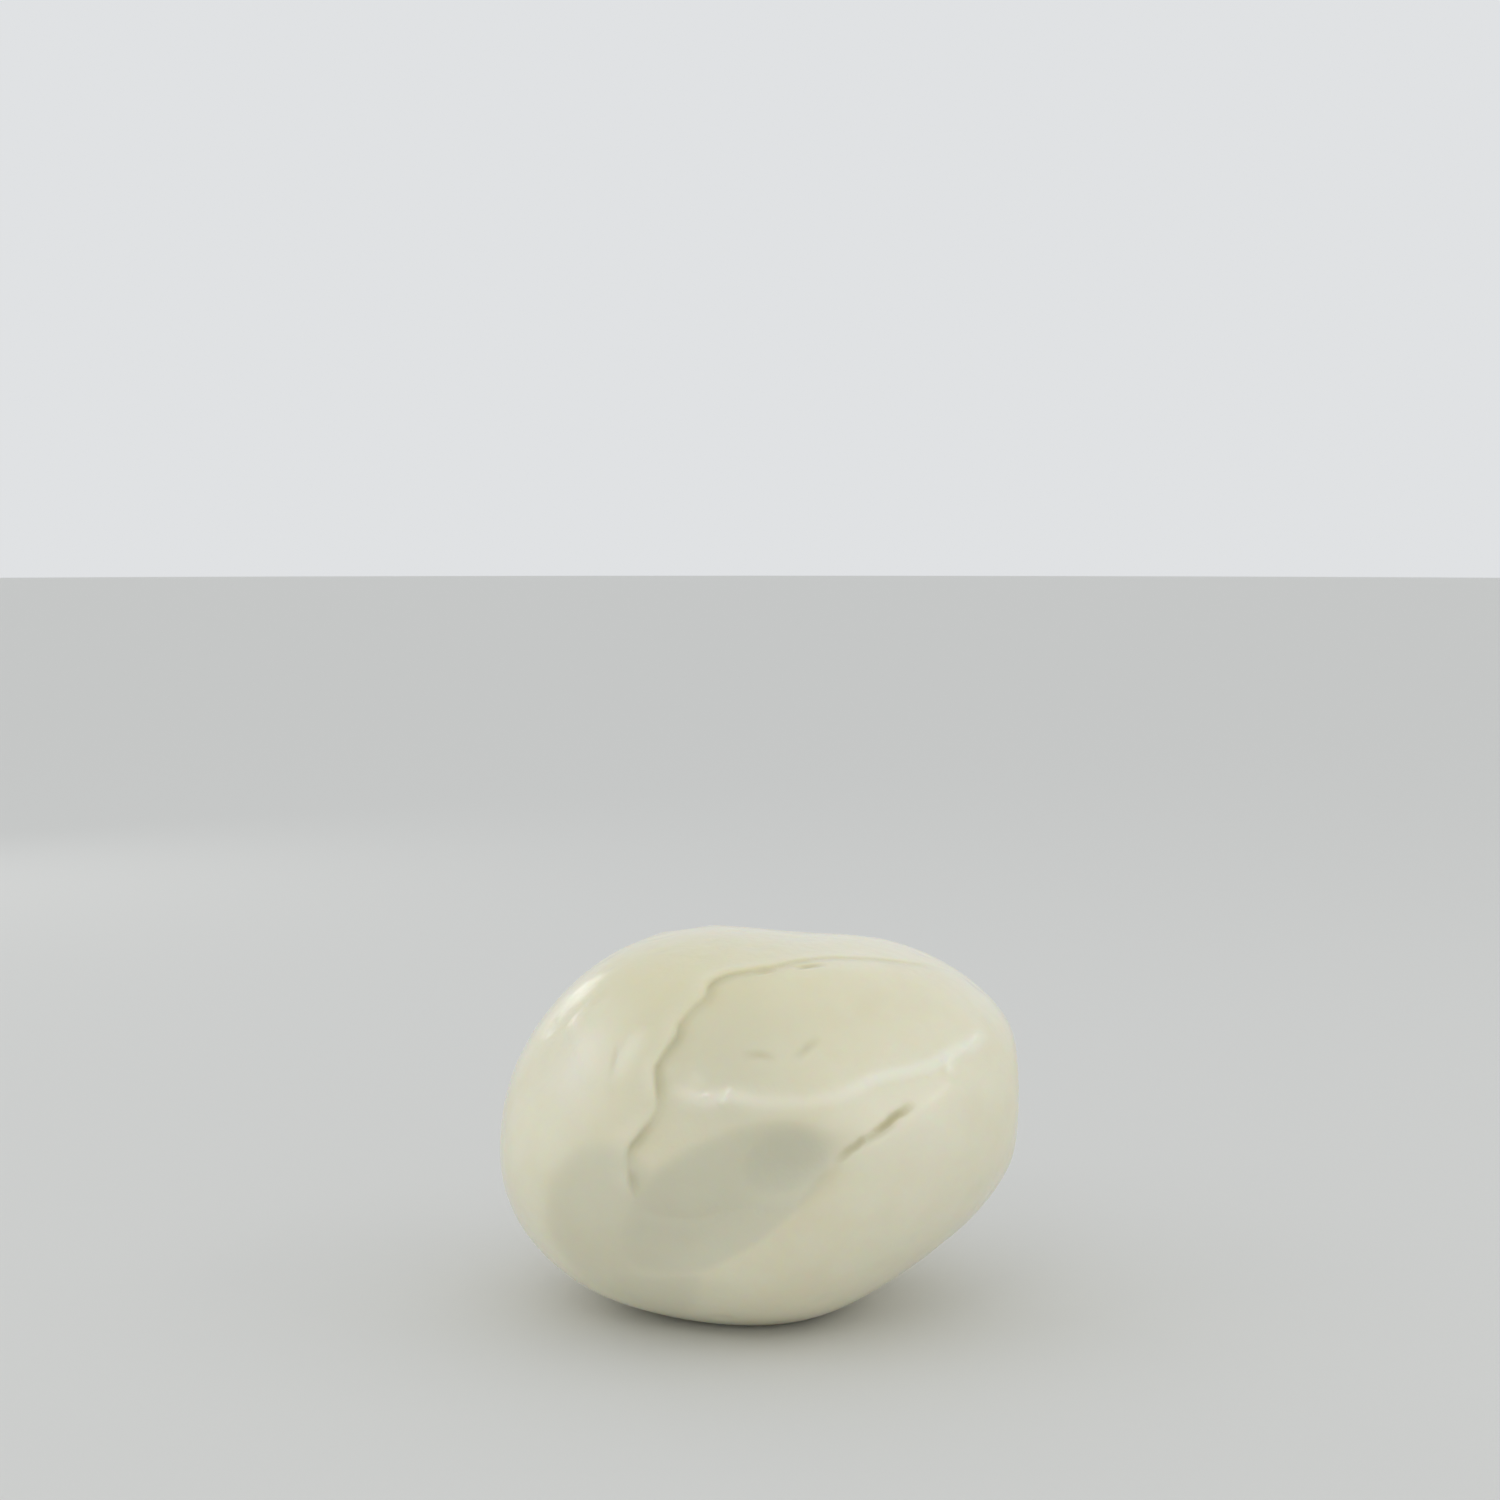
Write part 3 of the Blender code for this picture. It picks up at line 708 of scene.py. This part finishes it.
def skin_material(finish):
    """Fresh mozzarella: stretched curd, moist and smooth, which light enters and leaves again."""
    material = bpy.data.materials.new("fresh_mozzarella_skin")
    material.use_nodes = True
    tree = material.node_tree
    shader = tree.nodes["Principled BSDF"]
    place = add(tree, "ShaderNodeTexCoord").outputs["Object"]
    # Cloudy patches about a centimetre across, where the curd is denser or wetter.
    clouds = add(tree, "ShaderNodeTexNoise", {"Vector": place, "Scale": 1 / (11 * MM), "Detail": 3.0})
    cloudy = add(tree, "ShaderNodeMapRange",
                 {"Value": clouds.outputs[0], "From Min": 0.35, "From Max": 0.65})
    curd = add(tree, "ShaderNodeMix",
               {"Factor": cloudy.outputs["Result"], 6: linear(finish.milk), 7: linear(finish.cream)},
               data_type="RGBA")
    # Painted warm shade at the top on the left and beside the seam.
    painted_warm_shade = add(tree, "ShaderNodeAttribute", attribute_name="painted_warm_shade")
    warm_shaded = add(tree, "ShaderNodeMix",
               {"Factor": painted_warm_shade.outputs["Fac"], 6: curd.outputs[2], 7: linear(finish.painted_warm_shade)},
               data_type="RGBA")
    # Painted grey shade in the hollows and right of the seam.
    painted_grey_shade = add(tree, "ShaderNodeAttribute", attribute_name="painted_grey_shade")
    grey_shaded = add(tree, "ShaderNodeMix",
              {"Factor": painted_grey_shade.outputs["Fac"], 6: warm_shaded.outputs[2], 7: linear(finish.painted_grey_shade)},
              data_type="RGBA")
    # Painted highlight along the ridge, the ripples, the beads and the fold lips, and in two patches.
    crest = add(tree, "ShaderNodeAttribute", attribute_name="crest")
    highlight_paint = add(tree, "ShaderNodeMix",
               {"Factor": crest.outputs["Fac"], 6: grey_shaded.outputs[2], 7: linear(finish.highlight_paint)},
               data_type="RGBA")
    # Painted shade darkens the grooves of the folds, the nick and the pits, less so where grey shade is
    # already painted.
    crevice = add(tree, "ShaderNodeAttribute", attribute_name="crevice")
    groove_shade_amount = add(tree, "ShaderNodeMath", {0: crevice.outputs["Fac"], 1: 1.3}, operation="MULTIPLY",
                   use_clamp=True)
    outside_grey_shade = add(tree, "ShaderNodeMath", {0: painted_grey_shade.outputs["Fac"], 1: -0.8, 2: 1.0},
                   operation="MULTIPLY_ADD", use_clamp=True)
    groove_shade_factor = add(tree, "ShaderNodeMath", {0: groove_shade_amount.outputs[0], 1: outside_grey_shade.outputs[0]},
                  operation="MULTIPLY")
    colour = add(tree, "ShaderNodeMix",
                 {"Factor": groove_shade_factor.outputs[0], 6: highlight_paint.outputs[2], 7: linear(finish.groove_shade_paint)},
                 data_type="RGBA")
    # Wetter and drier patches, a few millimetres across. The skin under the painted highlight is the
    # glossiest.
    damp = add(tree, "ShaderNodeTexNoise", {"Vector": place, "Scale": 1 / (4 * MM), "Detail": 4.0})
    patchy = add(tree, "ShaderNodeMapRange",
                 {"Value": damp.outputs[0], "From Min": 0.3, "From Max": 0.7,
                  "To Min": finish.roughness - 0.08, "To Max": finish.roughness + 0.08})
    palest = add(tree, "ShaderNodeMapRange",
                 {"Value": crest.outputs["Fac"], "From Min": 0.45, "From Max": 1.0,
                  "To Min": 0.0, "To Max": 0.12})
    roughness = add(tree, "ShaderNodeMath", {0: patchy.outputs["Result"], 1: palest.outputs["Result"]},
                    operation="SUBTRACT")
    # A soft dapple 2 mm across over a fine grain of half a millimetre.
    dapple = add(tree, "ShaderNodeTexNoise", {"Vector": place, "Scale": 1 / (2.2 * MM), "Detail": 2.0})
    grain = add(tree, "ShaderNodeTexNoise", {"Vector": place, "Scale": 1 / (0.6 * MM), "Detail": 2.0})
    soft = add(tree, "ShaderNodeBump",
               {"Height": dapple.outputs[0], "Distance": 0.08 * MM, "Strength": 1.0})
    fine = add(tree, "ShaderNodeBump",
               {"Height": grain.outputs[0], "Distance": 0.012 * MM, "Strength": 1.0,
                "Normal": soft.outputs[0]})
    links = {
        "Base Color": colour.outputs[2],
        "Roughness": roughness.outputs[0],
        "Normal": fine.outputs[0],
    }
    for name, socket in links.items():
        tree.links.new(socket, shader.inputs[name])
    fixed = {
        "IOR": 1.42,
        "Subsurface Weight": 0.85,
        "Subsurface Radius": (1.0, 0.66, 0.36),
        "Subsurface Scale": finish.scatter,
        "Coat Weight": 0.6,
        "Coat Roughness": 0.15,
        "Coat IOR": 1.45,
    }
    for name, value in fixed.items():
        shader.inputs[name].default_value = value
    return material


class MOZZARELLA_OT_ball(bpy.types.Operator):
    """Forms the ball, lays its folds and gives it its skin."""

    bl_idname = "mozzarella.ball"
    bl_label = "Make the Ball"
    bl_options = {"REGISTER", "UNDO"}

    def execute(self, context):
        form, shape = context.scene.mozzarella_form, context.scene.mozzarella_folds
        skin = skin_material(context.scene.mozzarella_finish)
        ball = bpy.data.objects.new("fresh_mozzarella", formed_mesh(form))
        context.scene.collection.objects.link(ball)
        common = {"Skin": skin, "Waver": shape.waver, "Waver Size": 4 * MM, "Lean": 0.0,
                  "Painted Highlight": 0.0}
        kinds = (
            # Each kind's highlight value paints highlight onto its raised skin: the fold lips, the ridge,
            # the ripples and the beads.
            (FOLDS, path_tree("skin_fold", FOLD_SECTION, FOLD_LEAN),
             {"Height": shape.fold_height, "Reach": shape.fold_reach, "Lean": shape.fold_lean,
              "Painted Highlight": 0.8}),
            (NICKS, path_tree("skin_nick", NICK_SECTION, NO_LEAN),
             {"Height": shape.nick_height, "Reach": shape.nick_reach, "Waver": 2 * shape.waver,
              "Waver Size": 2 * MM}),
            (RIDGES, path_tree("skin_ridge", RIDGE_SECTION, NO_LEAN),
             {"Height": shape.ridge_height, "Reach": shape.ridge_reach, "Painted Highlight": 0.62}),
            (RIPPLES, path_tree("skin_ripple", RIDGE_SECTION, NO_LEAN),
             {"Height": shape.ripple_height, "Reach": shape.ripple_reach, "Painted Highlight": 0.35}),
            (BEADS, path_tree("skin_bead", RIDGE_SECTION, NO_LEAN),
             {"Height": shape.bead_height, "Reach": shape.bead_reach, "Painted Highlight": 1.0}),
            (PITS, path_tree("skin_pit", PIT_SECTION, NO_LEAN),
             {"Height": shape.pit_depth, "Reach": shape.pit_reach}),
        )
        guides = []
        for paths, tree, sizes in kinds:
            for name, stops in paths.items():
                guides.append(path_curve(name, stops, form))
                run_tree(ball, tree, {**common, **sizes, "Path": guides[-1]})
        run_tree(ball, dimple_tree(),
                 {"Skin": skin, "Spacing": shape.dimple_spacing, "Depth": shape.dimple_depth,
                  "Seed": shape.dimple_seed})
        context.view_layer.update()
        make_plain(ball)
        for guide in guides:
            bpy.data.objects.remove(guide)
        settle(ball.data, form)
        ball.data.shade_smooth()
        if len(ball.data.polygons) >= 200000:
            raise RuntimeError("the ball has too many triangles")
        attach(ball, BODY)
        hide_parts(NODE)
        return {"FINISHED"}


def area_light(name, middle, azimuth, elevation, distance, width, height, power):
    """A soft rectangular light that faces the middle, from degrees round to +X and up."""
    light = bpy.data.lights.new(name, "AREA")
    light.shape, light.size, light.size_y, light.energy = "RECTANGLE", width, height, power
    lamp = bpy.data.objects.new(name, light)
    lamp.location = middle + distance * Vector(direction(azimuth, elevation))
    lamp.rotation_euler = (middle - lamp.location).to_track_quat("-Z", "Y").to_euler()
    bpy.context.scene.collection.objects.link(lamp)


class MOZZARELLA_OT_stage(bpy.types.Operator):
    """Adds the floor, the lights and the camera."""

    bl_idname = "mozzarella.stage"
    bl_label = "Set the Stage"
    bl_options = {"REGISTER", "UNDO"}

    def execute(self, context):
        setup = context.scene.mozzarella_stage
        middle = Vector((0.0, 0.0, context.scene.mozzarella_form.rest_height))
        floor = bpy.data.meshes.new("floor")
        bm = bmesh.new()
        bmesh.ops.create_circle(bm, cap_ends=True, segments=96, radius=6.0)
        bm.to_mesh(floor)
        bm.free()
        paint = bpy.data.materials.new("matt_floor_paint")
        paint.use_nodes = True
        shader = paint.node_tree.nodes["Principled BSDF"]
        shader.inputs["Base Color"].default_value = linear(setup.floor)
        shader.inputs["Roughness"].default_value = 0.9
        floor.materials.append(paint)
        ground = bpy.data.objects.new("floor", floor)
        ground.location.z = -0.02 * MM
        context.scene.collection.objects.link(ground)
        area_light("key_light", middle, -16, 40, 0.62, 0.16, 0.06, setup.key_power)
        area_light("side_light", middle, 82, 38, 0.6, 0.4, 0.1, setup.side_power)
        area_light("fill_light", middle, -75, 35, 0.6, 0.5, 0.2, setup.fill_power)
        area_light("window_light", middle, -146, 16, 0.6, 0.16, 0.12, setup.window_power)
        world = bpy.data.worlds.new("surroundings")
        world.use_nodes = True
        background = world.node_tree.nodes["Background"]
        background.inputs["Color"].default_value = linear(setup.sky)
        background.inputs["Strength"].default_value = setup.sky_strength
        context.scene.world = world
        context.scene.view_settings.view_transform = "Standard"
        lens = bpy.data.cameras.new("camera")
        lens.lens = setup.lens
        camera = bpy.data.objects.new("camera", lens)
        camera.location = middle + Vector((-1.0 * MM, -setup.camera_distance, setup.camera_rise))
        camera.rotation_euler = (math.pi / 2 - setup.camera_dip, 0.0, 0.0)
        context.scene.collection.objects.link(camera)
        context.scene.camera = camera
        return {"FINISHED"}


class MOZZARELLA_PT_panel(bpy.types.Panel):
    """Lists the operators and their sizes."""

    bl_idname = "MOZZARELLA_PT_panel"
    bl_label = "Mozzarella Ball"
    bl_space_type = "VIEW_3D"
    bl_region_type = "UI"
    bl_category = "Mozzarella"

    def draw(self, context):
        scene = context.scene
        for heading, group in (("Form", scene.mozzarella_form), ("Folds", scene.mozzarella_folds),
                               ("Finish", scene.mozzarella_finish), ("Stage", scene.mozzarella_stage)):
            box = self.layout.box()
            box.label(text=heading)
            for name in group.bl_rna.properties.keys():
                if name not in ("rna_type", "name"):
                    box.prop(group, name)
        self.layout.operator(MOZZARELLA_OT_ball.bl_idname)
        self.layout.operator(MOZZARELLA_OT_stage.bl_idname)


CLASSES = (BallForm, FoldShape, SkinFinish, StageSetup,
           MOZZARELLA_OT_ball, MOZZARELLA_OT_stage, MOZZARELLA_PT_panel)


def register():
    """Registers the classes and hangs their settings on the scene."""
    for cls in CLASSES:
        bpy.utils.register_class(cls)
    bpy.types.Scene.mozzarella_form = PointerProperty(type=BallForm)
    bpy.types.Scene.mozzarella_folds = PointerProperty(type=FoldShape)
    bpy.types.Scene.mozzarella_finish = PointerProperty(type=SkinFinish)
    bpy.types.Scene.mozzarella_stage = PointerProperty(type=StageSetup)


def unregister():
    """Takes the settings and the classes away again."""
    for name in ("mozzarella_form", "mozzarella_folds", "mozzarella_finish", "mozzarella_stage"):
        delattr(bpy.types.Scene, name)
    for cls in reversed(CLASSES):
        bpy.utils.unregister_class(cls)


def main():
    """Makes everything, in order."""
    register()
    bpy.ops.mozzarella.ball()
    bpy.ops.mozzarella.stage()


if __name__ == "__main__":
    main()
